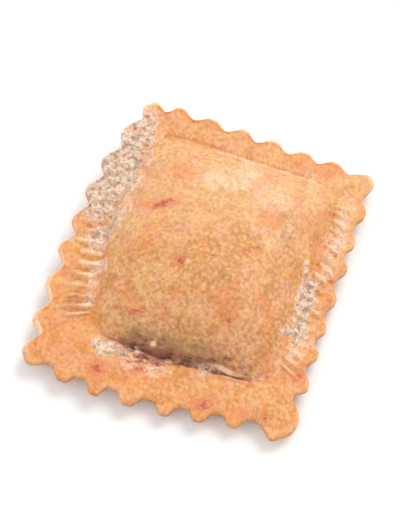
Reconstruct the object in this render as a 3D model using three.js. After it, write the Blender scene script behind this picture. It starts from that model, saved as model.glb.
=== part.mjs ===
// A fresh, uncooked raviolo: two sheets of egg pasta pressed together round a filling.
// The filling makes a pillow with a rounded crown and a shallow belly, set a little off
// centre. Round it runs the seal, where the sheets are pressed into one with a row of
// short ribs, and the seal ends in a lip cut by a fluted wheel, with a tooth at each corner.
// It is all one piece of dough, so it is one solid.
//
// Millimetres. X runs along the short side and Y along the long one, from front to back,
// and Z is up. The origin is on the surface that the raviolo rests on, under the middle
// of its outline.

import * as THREE from "three";

// The outline, before its sides bow and its corners are drawn out
const WIDTH = 50.2; // X, between the tips of the teeth
const LENGTH = 58; // Y, between the tips of the teeth
const TEETH_X = 7; // tooth pitches along a side that runs in X
const TEETH_Y = 8; // tooth pitches along a side that runs in Y
const TOOTH_DEPTH = 2.6; // tip to valley
const TOOTH_UNEVENNESS = 0.4; // share of a tooth's depth that may be missing
const TOOTH_LEAN = 0.18; // how many pitches a tooth may lean between its neighbours

// The pocket
const POCKET_HALF = new THREE.Vector2(19.7, 21.6); // half its foot's width and length
const POCKET_CENTRE = new THREE.Vector2(-1.1, 1.2); // off the middle of the outline
const POCKET_TAPER = 4.8; // how far its front left corner is drawn in
const CROWN_RISE = 9.6; // the crown above the seal's middle plane
const SEAL_HEIGHT = 4.1; // the seal's middle plane above the resting surface
const BELLY_FLAT = 0.46; // share of the pocket's outline that lies flat underneath

// The ribs pressed into the seal
const RIBS_PER_TOOTH = 3;
const RIB_RELIEF = 0.6; // a crest above the seal's surface, on the top
const RIB_NARROWNESS = 2; // 1 for a wave, more for crests narrower than their grooves
const RIB_FREE_CORNER = 1.1; // teeth from a corner where the ribs have died out

// How squarely each line turns its corners: the exponent of a superellipse
const SQUARE_LIP = 22;
const SQUARE_POCKET = 8;
const SQUARE_CROWN = 2.4;

// How closely points of the pocket's lines gather at its corners, where 1 is evenly
// spread. It lets the ribs run straight out from the pocket's sides.
const GATHERING = 1.45;

// The ripples along the rim
const RIPPLES = 5; // in one turn
const RIPPLE_RISE = 0.3;

// How much the pocket's foot follows the rim's bend
const FOOT_BEND = 0.35;

// Points round a line, enough to give every rib its crest and its grooves
const POINTS_PER_TOOTH = 4 * RIBS_PER_TOOTH;

// The four corners, anticlockwise from above. Each has how far the dough is drawn out of
// the rectangle there, how far it has lifted or drooped, the width of its tooth in tooth
// pitches, which way that tooth points, and how far it stands out, as a share of half a
// tooth's depth.
const CORNERS = [
  { at: [-1, -1], drawn: [-4.5, -0.9], lift: -0.7, tooth: 1.3, points: [-1, -1], stands: 1 }, // front left
  { at: [1, -1], drawn: [0.4, -0.2], lift: -1.4, tooth: 1.9, points: [-0.2, -1], stands: 2.3 }, // front right
  { at: [1, 1], drawn: [0.9, 0.3], lift: -0.9, tooth: 1.5, points: [1, 1], stands: 0.6 }, // back right
  { at: [-1, 1], drawn: [1.8, 2.2], lift: 2.2, tooth: 1.1, points: [-1, 1], stands: 0.7 }, // back left
];

// The sides that start at those corners: front, right, back and left. Each has the way it
// faces, its teeth, how far it bows outwards and where along it that peaks, how far from
// its middle a tooth's tip and its slope end in tooth pitches, how deep its teeth are cut
// and how deeply its ribs are pressed.
const SIDES = [
  { faces: [0, -1], teeth: TEETH_X, bow: 2.9, peak: 0.4, tip: 0.08, slope: 0.38, cut: 1, ribs: 0.1 },
  { faces: [1, 0], teeth: TEETH_Y, bow: -0.2, peak: 0.5, tip: 0.07, slope: 0.46, cut: 0.65, ribs: 0.9 },
  { faces: [0, 1], teeth: TEETH_X, bow: -0.4, peak: 0.5, tip: 0.06, slope: 0.5, cut: 0.75, ribs: 0.5 },
  { faces: [-1, 0], teeth: TEETH_Y, bow: 2.6, peak: 0.42, tip: 0.06, slope: 0.5, cut: 0.75, ribs: 1 },
];

// Lines across the seal, from the pocket's foot out to the cut edge. Each has its place
// across the seal, from 0 at the foot to 1 at the edge, half the dough's thickness there,
// and its share of the ribs and of the teeth.
const SEAL_LINES = [
  { place: 0.0, half: 0.6, ribs: 0, teeth: 0 },
  { place: 0.12, half: 0.76, ribs: 1, teeth: 0 },
  { place: 0.48, half: 0.73, ribs: 1, teeth: 0 },
  { place: 0.62, half: 0.7, ribs: 0, teeth: 0 },
  { place: 0.86, half: 0.74, ribs: 0, teeth: 0.4 },
  { place: 1.0, half: 0.45, ribs: 0, teeth: 1 },
];

// Lines over the crown and under the belly, as shares of the pocket's outline. The lines
// near the middle are short, so they have fewer points.
const CROWN_LINES = [
  { share: 0.28, thin: 4 },
  { share: 0.52, thin: 4 },
  { share: 0.7, thin: 2 },
  { share: 0.84, thin: 2 },
  { share: 0.94, thin: 2 },
];
const BELLY_LINES = [
  { share: 0.9, thin: 2 },
  { share: 0.72, thin: 4 },
  { share: BELLY_FLAT, thin: 20 },
];

// A repeatable number from 0 to 1 for each whole number.
function chance(n) {
  return THREE.MathUtils.euclideanModulo(Math.sin(n * 12.9898) * 43758.5453, 1);
}

// Every place round a line: its side, the corners that the side runs between, how far it
// is along that side, from 0 to 1, how many teeth it is from the side's start and from its
// nearest corner, and how many teeth it has come round from the front left corner.
function placesRound() {
  const places = [];
  let teethBefore = 0;
  SIDES.forEach((side, i) => {
    const from = CORNERS[i];
    const to = CORNERS[(i + 1) % CORNERS.length];
    for (let k = 0; k < side.teeth * POINTS_PER_TOOTH; k++) {
      const tooth = k / POINTS_PER_TOOTH;
      const along = pitchesAlong(tooth, side.teeth, from.tooth, to.tooth) / side.teeth;
      const toCorner = Math.min(tooth, side.teeth - tooth);
      const corner = tooth < side.teeth / 2 ? from : to;
      places.push({ side, from, to, corner, along, tooth, toCorner, turn: teethBefore + tooth });
    }
    teethBefore += side.teeth;
  });
  return places;
}

// How many pitches along a side a tooth lies. The side has half a tooth at each end, whose
// full widths are first and last, and the others share the rest of its length.
function pitchesAlong(tooth, teeth, first, last) {
  if (tooth < 0.5) return tooth * first;
  if (tooth > teeth - 0.5) return teeth - (teeth - tooth) * last;
  return THREE.MathUtils.mapLinear(tooth, 0.5, teeth - 0.5, first / 2, teeth - last / 2);
}

const PLACES = placesRound();
const ALL_TEETH = SIDES.reduce((sum, side) => sum + side.teeth, 0);

// The point at a place on a rounded rectangle of these half sizes. A higher squareness
// gives tighter corners, and a higher gathering moves points towards them.
function onRectangle(place, half, squareness, gathering = 1) {
  const point = new THREE.Vector2(...place.from.at).lerp(new THREE.Vector2(...place.to.at), place.along);
  point.x = Math.sign(point.x) * (1 - (1 - Math.abs(point.x)) ** gathering);
  point.y = Math.sign(point.y) * (1 - (1 - Math.abs(point.y)) ** gathering);
  const size = (Math.abs(point.x) ** squareness + Math.abs(point.y) ** squareness) ** (1 / squareness);
  return point.divideScalar(size).multiply(half);
}

// The way outwards at a place, which turns to the corner's own way over its tooth.
function outwards(place) {
  const out = new THREE.Vector2(...place.side.faces);
  const turned = Math.max(0, 1 - 2 * place.toCorner);
  return out.lerp(new THREE.Vector2(...place.corner.points), turned).normalize();
}

// A value from 0 to 1 that changes evenly from one tooth to the next.
function byTooth(place, seed) {
  const before = Math.floor(place.turn);
  const after = (before + 1) % ALL_TEETH;
  return THREE.MathUtils.lerp(chance(before + seed), chance(after + seed), place.turn - before);
}

// The outline's height above its mean line: about 1 at a tooth's tip and -1 in a valley.
// The teeth lean and are unevenly deep, and the corners keep a tooth of their own.
function toothAt(place) {
  const { tip, slope, cut } = place.side;
  const { stands } = place.corner;
  const fromCorner = THREE.MathUtils.smoothstep(place.toCorner, 0.5, 1);
  const at = place.tooth + TOOTH_LEAN * (byTooth(place, 3) - 0.5) * fromCorner;
  const tooth = 1 - 2 * THREE.MathUtils.smoothstep(Math.abs(at - Math.round(at)), tip, slope);
  const corner = stands - (1 + stands) * THREE.MathUtils.smoothstep(2 * place.toCorner, 0.25, 1);
  const depth = THREE.MathUtils.lerp(1, cut, fromCorner) * (1 - TOOTH_UNEVENNESS * byTooth(place, 0));
  return (place.toCorner < 0.5 ? corner : tooth) * depth;
}

// The line that the cutter ran along, halfway between tips and valleys.
function lipAt(place) {
  const half = new THREE.Vector2(WIDTH, LENGTH).subScalar(TOOTH_DEPTH).divideScalar(2);
  const { faces, bow, peak } = place.side;
  const rise = bow * Math.sin(Math.PI * place.along ** (Math.log(0.5) / Math.log(peak)));
  return onRectangle(place, half, SQUARE_LIP).addScaledVector(new THREE.Vector2(...faces), rise);
}

// The pocket's outline, shrunk to a share of its size, and rounder the smaller it is. It
// narrows towards its front left corner.
function pocketAt(place, share) {
  const squareness = THREE.MathUtils.lerp(SQUARE_CROWN, SQUARE_POCKET, share);
  const half = POCKET_HALF.clone().multiplyScalar(share);
  const point = onRectangle(place, half, squareness, GATHERING);
  const left = Math.max(0, -point.x / POCKET_HALF.x);
  const front = THREE.MathUtils.smoothstep(-point.y / POCKET_HALF.y, -0.25, 1);
  point.x += POCKET_TAPER * left * front;
  return point.add(POCKET_CENTRE);
}

// Where a point of the flat pattern ends up at height z. The corners are drawn out and
// lifted, what lies between them follows, and the rim ripples. A lower bend lifts less.
function shaped(flat, z, place, bend) {
  const ripple = RIPPLE_RISE * Math.sin((2 * Math.PI * RIPPLES * place.turn) / ALL_TEETH);
  const point = new THREE.Vector3(flat.x, flat.y, z + ripple * bend);
  for (const { at, drawn, lift } of CORNERS) {
    const nearX = THREE.MathUtils.clamp(0.5 + (at[0] * flat.x) / WIDTH, 0, 1);
    const nearY = THREE.MathUtils.clamp(0.5 + (at[1] * flat.y) / LENGTH, 0, 1);
    point.addScaledVector(new THREE.Vector3(...drawn, lift * bend), nearX * nearY);
  }
  return point;
}

// The height of a rib, from 0 in a groove to 1 on a crest, dying out near the corners.
function ribAt(place) {
  const depth = THREE.MathUtils.smoothstep(place.toCorner, RIB_FREE_CORNER / 2, RIB_FREE_CORNER);
  const wave = 0.5 + 0.5 * Math.cos(2 * Math.PI * RIBS_PER_TOOTH * place.tooth);
  return place.side.ribs * depth * wave ** RIB_NARROWNESS;
}

// A line of points round the seal: upper is 1 on its top and -1 underneath.
function sealLine({ place: across, half, ribs, teeth }, upper) {
  return PLACES.map((place) => {
    const flat = pocketAt(place, 1).lerp(lipAt(place), across);
    flat.addScaledVector(outwards(place), (teeth * toothAt(place) * TOOTH_DEPTH) / 2);
    const relief = upper > 0 ? ribs * ribAt(place) * RIB_RELIEF : 0;
    const bend = THREE.MathUtils.lerp(FOOT_BEND, 1, across);
    return shaped(flat, SEAL_HEIGHT + upper * half + relief, place, bend);
  });
}

// A line of points round the crown. The pillow rises steeply from its foot to a broad top.
function crownLine({ share, thin }) {
  const foot = SEAL_HEIGHT + SEAL_LINES[0].half;
  const rise = (SEAL_HEIGHT + CROWN_RISE - foot) * (1 - share ** 2.3) ** 0.78;
  const bend = FOOT_BEND * share ** 4;
  return thinned(thin).map((place) => shaped(pocketAt(place, share), foot + rise, place, bend));
}

// A line of points round the belly, whose last one edges its flat spot.
function bellyLine({ share, thin }) {
  const foot = SEAL_HEIGHT - SEAL_LINES[0].half;
  const sunk = Math.min(1, (1 - share) / (1 - BELLY_FLAT));
  const height = foot * (1 - sunk) ** 1.9;
  const bend = FOOT_BEND * share ** 4 * (1 - sunk);
  return thinned(thin).map((place) => shaped(pocketAt(place, share), height, place, bend));
}

function thinned(step) {
  return PLACES.filter((_, i) => i % step === 0);
}

// Joins lines that run round the same axis into one closed skin. The first and last are
// single points, and neighbours may differ in their number of points.
function skinOver(lines) {
  const points = lines.flat();
  const faces = [];
  let first = 0;
  for (let i = 0; i + 1 < lines.length; i++) {
    const inner = lines[i].length;
    const outer = lines[i + 1].length;
    const next = first + inner;
    const steps = Math.max(inner, outer);
    for (let k = 0; k < steps; k++) {
      const a0 = first + Math.floor((k * inner) / steps);
      const a1 = first + (Math.floor(((k + 1) * inner) / steps) % inner);
      const b0 = next + Math.floor((k * outer) / steps);
      const b1 = next + (Math.floor(((k + 1) * outer) / steps) % outer);
      if (b0 !== b1) faces.push(a0, b0, b1);
      if (a0 !== a1) faces.push(a0, b1, a1);
    }
    first = next;
  }
  const geometry = new THREE.BufferGeometry().setFromPoints(points);
  geometry.setIndex(faces);
  return geometry;
}

// Moves a geometry so that its box stands on the origin, centred.
function centred(geometry) {
  geometry.computeBoundingBox();
  const middle = geometry.boundingBox.getCenter(new THREE.Vector3());
  geometry.translate(-middle.x, -middle.y, -geometry.boundingBox.min.z);
  geometry.computeVertexNormals();
  return geometry;
}

function makeRaviolo() {
  const top = shaped(POCKET_CENTRE, SEAL_HEIGHT + CROWN_RISE, PLACES[0], 0);
  const underside = shaped(POCKET_CENTRE, 0, PLACES[0], 0);
  const [foot, ribFoot, , ribEnd, lip, edge] = SEAL_LINES;
  const lines = [
    [top],
    ...CROWN_LINES.map(crownLine),
    ...SEAL_LINES.map((line) => sealLine(line, 1)),
    ...[edge, lip, ribEnd, ribFoot, foot].map((line) => sealLine(line, -1)),
    ...BELLY_LINES.map(bellyLine),
    [underside],
  ];
  const dough = new THREE.MeshStandardMaterial({ color: 0xe9ab72, roughness: 0.85, metalness: 0 });
  const raviolo = new THREE.Mesh(centred(skinOver(lines)), dough);
  raviolo.name = "raviolo";
  return raviolo;
}

const part = new THREE.Group();
part.add(makeRaviolo());

export default part;
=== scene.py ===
"""The visual model of a fresh, floured raviolo, on a pale floor in soft light.

The dough is one closed skin of lines that run round the raviolo, from the middle of the
crown, over the seal and the cut edge, to the flat spot underneath. Small flakes lie in
it and loose flour lies on it. Everything is in metres.
"""

import math
from typing import NamedTuple

import bmesh
import bpy
import numpy as np
from mathutils import Matrix, Vector, noise


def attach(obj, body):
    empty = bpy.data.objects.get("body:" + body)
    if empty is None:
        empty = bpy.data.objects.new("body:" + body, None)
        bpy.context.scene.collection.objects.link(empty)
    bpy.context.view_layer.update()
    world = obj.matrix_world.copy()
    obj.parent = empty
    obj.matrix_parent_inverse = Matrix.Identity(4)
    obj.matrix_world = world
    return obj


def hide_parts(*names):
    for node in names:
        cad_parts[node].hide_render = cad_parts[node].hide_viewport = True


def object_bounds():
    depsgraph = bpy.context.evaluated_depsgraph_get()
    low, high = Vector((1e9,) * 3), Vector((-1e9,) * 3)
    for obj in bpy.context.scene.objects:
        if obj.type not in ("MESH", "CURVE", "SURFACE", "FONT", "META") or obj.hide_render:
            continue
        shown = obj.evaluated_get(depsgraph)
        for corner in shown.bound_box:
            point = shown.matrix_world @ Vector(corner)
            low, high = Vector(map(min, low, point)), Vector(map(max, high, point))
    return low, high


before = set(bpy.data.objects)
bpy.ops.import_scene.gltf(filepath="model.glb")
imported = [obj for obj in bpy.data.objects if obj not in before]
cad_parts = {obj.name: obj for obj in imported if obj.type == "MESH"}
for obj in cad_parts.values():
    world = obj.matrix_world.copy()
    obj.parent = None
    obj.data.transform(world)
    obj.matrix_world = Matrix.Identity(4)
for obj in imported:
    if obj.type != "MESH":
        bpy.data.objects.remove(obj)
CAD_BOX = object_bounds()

bl_info = {
    "name": "Floured raviolo",
    "version": (1, 0, 0),
    "blender": (4, 5, 0),
    "location": "3D View > Sidebar > Raviolo",
    "description": "Builds a fresh raviolo with its flour, its red flakes and a stage",
    "category": "Add Mesh",
}

NODE = "raviolo"
BODY = "root"
DOUGH_PIECE = "raviolo_dough"
FLAKES_PIECE = "raviolo_flakes"
FLOUR_PIECE = "raviolo_flour"


# ---- The plan of the raviolo, seen from above


class Corner(NamedTuple):
    """A corner: which way it lies, how far the dough is drawn out of the rectangle
    there, how far it has lifted or drooped, its tooth's width in tooth pitches, which
    way that tooth points, and how far it stands out of the mean outline, as a share of
    half a tooth's depth."""

    at: tuple
    drawn: tuple
    lift: float
    tooth: float
    points: tuple
    stands: float


class Side(NamedTuple):
    """A side: the way it faces, its teeth, how far it bows and where along it that
    peaks, how far from its middle a tooth's tip and slope end in tooth pitches, how deep
    its teeth are cut, how deep its ribs are and how far out they reach, how high the bead
    along its lip is, and how softly the pocket rises from it."""

    faces: tuple
    teeth: int
    bow: float
    peak: float
    tip: float
    slope: float
    cut: float
    ribs: float
    reach: float
    bead: float
    soft: float


# Anticlockwise from the front left, so that each side starts at the corner in its place
CORNERS = (
    Corner((-1, -1), (-0.0045, -0.0009), -0.0007, 1.3, (-1, -1), 1.0),
    Corner((1, -1), (0.0004, -0.0002), -0.0014, 1.9, (-0.2, -1), 2.3),
    Corner((1, 1), (0.0009, 0.0003), -0.0009, 1.5, (1, 1), 0.6),
    Corner((-1, 1), (0.0018, 0.0022), 0.0022, 1.1, (-1, 1), 0.7),
)
SIDES = (
    Side((0, -1), 7, 0.0029, 0.4, 0.08, 0.38, 1.0, 0.10, 0.30, 0.2, 0.0),
    Side((1, 0), 8, -0.0002, 0.5, 0.07, 0.46, 0.65, 0.75, 0.60, 0.4, 0.8),
    Side((0, 1), 7, -0.0004, 0.5, 0.06, 0.50, 0.75, 0.35, 0.50, 0.7, 1.0),
    Side((-1, 0), 8, 0.0026, 0.42, 0.06, 0.50, 0.75, 1.0, 0.66, 1.0, 0.9),
)
# What every place has straight from its side
OF_SIDE = ("tip", "slope", "cut", "ribs", "reach", "bead", "soft")
ALL_TEETH = sum(side.teeth for side in SIDES)
RIBS_PER_TOOTH = 3
SQUARE_LIP = 22.0
SQUARE_POCKET = 8.0
SQUARE_CROWN = 2.4
GATHERING = 1.45
RIPPLES = 5
FOOT_BEND = 0.35
# The origin is under the middle of the outline's box: from there to the plan's middle
PLAN_MIDDLE = np.array((0.0020, 0.0011))


class Plan:
    """Places in order round the raviolo, with what each one has of its side and corner."""

    def __init__(self, per_tooth):
        columns = []
        teeth_before = 0
        for index, side in enumerate(SIDES):
            start, end = CORNERS[index], CORNERS[(index + 1) % len(CORNERS)]
            tooth = np.arange(side.teeth * per_tooth) / per_tooth
            knots = (0.0, 0.5, side.teeth - 0.5, side.teeth)
            pitches = (0.0, start.tooth / 2, side.teeth - end.tooth / 2, side.teeth)
            along = np.interp(tooth, knots, pitches) / side.teeth
            first_half = tooth < side.teeth / 2
            columns.append(
                {
                    "tooth": tooth,
                    "turn": teeth_before + tooth,
                    "to_corner": np.minimum(tooth, side.teeth - tooth),
                    "square": np.outer(1 - along, start.at) + np.outer(along, end.at),
                    "corner": np.where(first_half[:, None], start.points, end.points),
                    "faces": np.tile(np.array(side.faces, float), (len(tooth), 1)),
                    "bow": side.bow * np.sin(math.pi * along ** math.log(0.5, side.peak)),
                    "stands": np.where(first_half, start.stands, end.stands),
                    **{name: np.full(len(tooth), getattr(side, name)) for name in OF_SIDE},
                }
            )
            teeth_before += side.teeth
        for name in columns[0]:
            setattr(self, name, np.concatenate([column[name] for column in columns]))
        turned = np.maximum(0, 1 - 2 * self.to_corner)[:, None]
        out = self.faces * (1 - turned) + self.corner * turned
        self.out = out / np.linalg.norm(out, axis=1)[:, None]
        self.angle = 2 * math.pi * self.turn / ALL_TEETH
        for name in ("ribs", "bead", "soft"):
            setattr(self, name, evened(getattr(self, name), per_tooth))

    def rectangle(self, half, squareness, gathering=1.0):
        """A line of points on a rounded rectangle: a higher squareness turns tighter,
        and with a higher gathering the points lie closer together at the corners."""
        square = np.sign(self.square) * (1 - (1 - np.abs(self.square)) ** gathering)
        size = (np.abs(square) ** squareness).sum(axis=1) ** (1 / squareness)
        return square / size[:, None] * np.array(half)

    def by_tooth(self, seed):
        """A value from 0 to 1 that changes evenly from one tooth to the next."""
        values = chance(np.arange(ALL_TEETH) + seed)
        return np.interp(self.turn, np.arange(ALL_TEETH + 1), np.append(values, values[0]))

    def leaning(self, shape):
        """Places along the sides, in teeth, with each tooth shifted a little."""
        lean = shape.tooth_unevenness * 0.45 * (self.by_tooth(3) - 0.5)
        return self.tooth + lean * smooth(self.to_corner, 0.5, 1.0)

    def teeth(self, shape):
        """The outline's height above its mean line: 1 at a tip and -1 in a valley."""
        place = self.leaning(shape)
        cut = 1 - 2 * smooth(np.abs(place - np.round(place)), self.tip, self.slope)
        corner = self.stands - (1 + self.stands) * smooth(2 * self.to_corner, 0.25, 1.0)
        depth = 1 + (self.cut - 1) * smooth(self.to_corner, 0.5, 1.0)
        depth = depth * (1 - shape.tooth_unevenness * self.by_tooth(0))
        return np.where(self.to_corner < 0.5, corner, cut) * depth

    def lip(self, shape):
        """The line that the cutter ran along, halfway between tips and valleys."""
        half = ((shape.width - shape.tooth_depth) / 2, (shape.length - shape.tooth_depth) / 2)
        return self.rectangle(half, SQUARE_LIP) + self.faces * self.bow[:, None]

    def seal_width(self, shape):
        """How wide the seal is at each place, from the pocket's foot to the lip."""
        foot = self.shaped(shape, self.pocket(shape, 1), 0, 0)
        return np.linalg.norm(self.shaped(shape, self.lip(shape), 0, 0) - foot, axis=1)

    def pocket(self, shape, share):
        """The pocket's outline, shrunk to a share of its size, and rounder as it shrinks.
        It narrows towards its front left corner."""
        squareness = SQUARE_CROWN + (SQUARE_POCKET - SQUARE_CROWN) * share
        half = np.array((shape.pocket_width / 2, shape.pocket_length / 2))
        line = self.rectangle(half * share, squareness, GATHERING)
        left = np.maximum(0, -line[:, 0] / half[0])
        line[:, 0] += shape.pocket_taper * left * smooth(-line[:, 1] / half[1], -0.25, 1.0)
        return line + np.array(shape.pocket_centre)

    def shaped(self, shape, flat, height, bend):
        """Where points of the flat plan end up, with the corners drawn out and lifted."""
        points = np.empty((len(flat), 3))
        points[:, :2] = flat
        points[:, 2] = height + shape.ripple * bend * np.sin(RIPPLES * self.angle)
        for corner in CORNERS:
            near_x = np.clip(0.5 + corner.at[0] * flat[:, 0] / shape.width, 0, 1)
            near_y = np.clip(0.5 + corner.at[1] * flat[:, 1] / shape.length, 0, 1)
            near = near_x * near_y
            points[:, 0] += corner.drawn[0] * near
            points[:, 1] += corner.drawn[1] * near
            points[:, 2] += corner.lift * near * bend
        points[:, :2] += PLAN_MIDDLE
        return points


def in_plan(points):
    """Where points lie in the plan, before it moved over the origin: their x and y."""
    return points[:, 0] - PLAN_MIDDLE[0], points[:, 1] - PLAN_MIDDLE[1]


def chance(number):
    """A repeatable number from 0 to 1 for each whole number."""
    return np.mod(np.sin(number * 12.9898) * 43758.5453, 1)


def evened(values, width):
    """Values round the raviolo, averaged over this many neighbours."""
    spread = np.fft.rfft(np.ones(width) / width, len(values))
    return np.roll(np.fft.irfft(np.fft.rfft(values) * spread, len(values)), -(width // 2))


def smooth(value, low, high):
    """0 below low, 1 above high and an easy slope between them."""
    share = np.clip((value - low) / (high - low), 0, 1)
    return share * share * (3 - 2 * share)


def lumps(points, size, seed, octaves=1):
    """Smooth random heights from about -1 to 1 at points, in lumps of this size."""
    shift = Vector((17.3 * seed, -9.1 * seed, 4.7 * seed))
    heights = []
    for point in points:
        place = Vector(point) / size + shift
        if octaves == 1:
            heights.append(noise.noise(place))
        else:
            heights.append(noise.fractal(place, 1.0, 2.0, octaves))
    return np.array(heights) * 1.6


# ---- The dough

# Across the seal from the pocket's foot, at 0, to the cut edge, at 1: half the dough's
# thickness, as knots of a smooth line
SEAL_PLACES = (0.0, 0.1, 0.5, 0.62, 0.88, 0.96, 1.0)
SEAL_HALVES = (0.00060, 0.00076, 0.00073, 0.00070, 0.00074, 0.00068, 0.00045)

POINTS_PER_TOOTH = 30
SEAL_LINES = 44
CROWN_LINES = 74
UNDER_LINES = 16
BELLY_LINES = 20
# Down the cut edge, from the top to the bottom of the seal
WALL_LINES = (0.2, 0.4, 0.6, 0.8)
# The crown's lines keep one point in so many up to this share of the pocket's size
CROWN_KEEPS = ((0.1, 12), (0.3, 4), (0.62, 2), (1.0, 1))
# Powers that set how full the crown and the belly are, and the crown's shoulder
CROWN_FULLNESS = 2.3
CROWN_SHOULDER = 0.78
BELLY_FULLNESS = 1.9

# The small pit on the crown and the knob beside it, in the plan
PIT = (-0.0044, -0.0050)
KNOB = (-0.0033, -0.0050)
# The dent runs from back to front, slanted: x falls by this for each y, from this offset
DENT_SLANT = 0.4
DENT_OFFSET = 0.0015
DENT_STRETCH = 1.08
# Where the seal is deeper orange, and where painted shade darkens the crown's flank
DEEP_SEAL = (-0.0240, -0.0245)
SHADED_FLANK = (0.0150, -0.0155)


def bump(value, middle, width):
    """A smooth bump of height 1."""
    return np.exp(-(((value - middle) / width) ** 2))


def spot(x, y, place, width):
    """A round bump at a place in the plan."""
    return bump(np.hypot(x - place[0], y - place[1]), 0, width)


def seal_line(plan, shape, across, upper):
    """A line of points round the seal: upper is 1 on its top and -1 underneath."""
    toothed = smooth(across, 0.76, 1.0)
    flat = plan.pocket(shape, 1) * (1 - across) + plan.lip(shape) * across
    flat = flat + plan.out * (toothed * plan.teeth(shape) * shape.tooth_depth / 2)[:, None]
    half = np.interp(across, SEAL_PLACES, SEAL_HALVES)
    bend = FOOT_BEND + (1 - FOOT_BEND) * across
    height = shape.seal_height + upper * half
    if upper > 0:
        ribs = 1.3 * rib_line(plan, shape, across) - 0.15 * bump(across, 0.3, 0.3)
        height = height + shape.rib_relief * ribs
        height = height + shape.bead * plan.bead * bump(across, 0.95, 0.05)
    curl = 2 * shape.curl * (plan.by_tooth(50) - 0.5)
    height = height + curl * smooth(across, 0.55, 1.0)
    return plan.shaped(shape, flat, height, bend)


def rib_line(plan, shape, across, grooves=False):
    """How far each place on a line stands up as a rib, from 0 to 1, or with grooves how
    far down it lies between two ribs. Both are narrow."""
    ribs = RIBS_PER_TOOTH * ALL_TEETH
    place = plan.turn - plan.tooth + plan.leaning(shape)
    which = np.round(place * RIBS_PER_TOOTH) % ribs
    depth = 0.55 + 0.45 * chance(which + 7.0)
    reach = np.minimum(plan.reach, shape.rib_length / plan.seal_width(shape))
    reach = reach + 0.24 * (chance(which + 31.0) - 0.5)
    start = 0.12 * chance(which + 17.0)
    wave = 0.5 + (-0.5 if grooves else 0.5) * np.cos(2 * math.pi * RIBS_PER_TOOTH * place)
    window = smooth(across, start - 0.06, start + 0.08)
    window = window * (1 - smooth(across, reach, reach + 0.14))
    free = smooth(plan.to_corner, 0.55, 1.1)
    return plan.ribs * depth * wave**shape.rib_narrowness * window * free


def crown_line(plan, shape, share):
    """A line of points round the crown, which rises softly or sharply from its foot."""
    foot = shape.seal_height + SEAL_HALVES[0]
    top = shape.seal_height + shape.crown_rise
    rise = (top - foot) * (1 - share**CROWN_FULLNESS) ** CROWN_SHOULDER
    eased = smooth(1 - share, -0.02, shape.foot_softness)
    height = foot + rise * (1 - plan.soft + plan.soft * eased)
    return plan.shaped(shape, plan.pocket(shape, share), height, FOOT_BEND * share**4)


def belly_line(plan, shape, share):
    """A line of points round the belly, which ends in its flat spot."""
    foot = shape.seal_height - SEAL_HALVES[0]
    sunk = min(1.0, (1 - share) / (1 - shape.belly_flat))
    height = np.full(len(plan.turn), foot * (1 - sunk) ** BELLY_FULLNESS)
    bend = FOOT_BEND * share**4 * (1 - sunk)
    return plan.shaped(shape, plan.pocket(shape, share), height, bend)


KNOWN = ("across", "upper", "rib", "groove", "bead", "wall")


class Lines:
    """The lines of the skin, from the crown's middle to the belly's, and what each of
    their points knows: how far it is from the foot (0 at the foot, 1 at the edge, -1 in
    the middle), whether it is on top, and how much of a rib, of a groove between ribs,
    of the bead or of the cut edge it is."""

    def __init__(self, shape):
        self.plan = Plan(POINTS_PER_TOOTH)
        self.lines = []
        self.known = {name: [] for name in KNOWN}
        self.add_top(shape)
        self.add_bottom(shape)

    def add(self, line, across, upper, thin=1, **more):
        self.lines.append(line[::thin])
        known = {"across": across, "upper": upper, **more}
        for name, values in self.known.items():
            values.append((known.get(name, 0.0) * np.ones(len(line)))[::thin])

    def add_top(self, shape):
        plan = self.plan
        for share in np.linspace(0.02, 1, CROWN_LINES, endpoint=False) ** 0.8:
            thin = next(keeps for reach, keeps in CROWN_KEEPS if share < reach)
            self.add(crown_line(plan, shape, share), share - 1, 1, thin)
        for across in np.linspace(0, 1, SEAL_LINES) ** 0.94:
            bead = plan.bead * smooth(across, 0.88, 0.96)
            line = seal_line(plan, shape, across, 1)
            rib, groove = rib_line(plan, shape, across), rib_line(plan, shape, across, True)
            self.add(line, across, 1, rib=rib, groove=groove, bead=bead)

    def add_bottom(self, shape):
        plan = self.plan
        top, bottom = seal_line(plan, shape, 1, 1), seal_line(plan, shape, 1, -1)
        for down in WALL_LINES:
            wall = top * (1 - down) + bottom * down
            wall[:, :2] += plan.out * shape.edge_bulge * math.sin(math.pi * down)
            self.add(wall, 1, 0, bead=plan.bead * (1 - down), wall=1)
        for across in np.linspace(1, 0, UNDER_LINES):
            self.add(seal_line(plan, shape, across, -1), across, 0, 1 if across == 1 else 2)
        for share in np.linspace(1, 0.06, BELLY_LINES)[1:]:
            self.add(belly_line(plan, shape, share), share - 1, 0, 4 if share > 0.2 else 20)

    def values(self, name):
        """What every point of the skin knows under this name, its two middles included."""
        first, last = self.known[name][0][:1], self.known[name][-1][:1]
        return np.concatenate([first, *self.known[name], last])


def skin(lines):
    """One closed skin over lines that run round the same axis: its points and faces.
    Neighbouring lines may differ in their number of points, which gives triangles."""
    middle_first = lines[0].mean(axis=0)[None]
    middle_last = lines[-1].mean(axis=0)[None]
    lines = [middle_first, *lines, middle_last]
    faces = []
    first = 0
    for inner_line, outer_line in zip(lines, lines[1:]):
        inner, outer = len(inner_line), len(outer_line)
        after = first + inner
        steps = max(inner, outer)
        for step in range(steps):
            a0 = first + step * inner // steps
            a1 = first + (step + 1) * inner // steps % inner
            b0 = after + step * outer // steps
            b1 = after + (step + 1) * outer // steps % outer
            faces.append(tuple(dict.fromkeys((a0, b0, b1, a1))))
        first = after
    return np.concatenate(lines), faces


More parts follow.
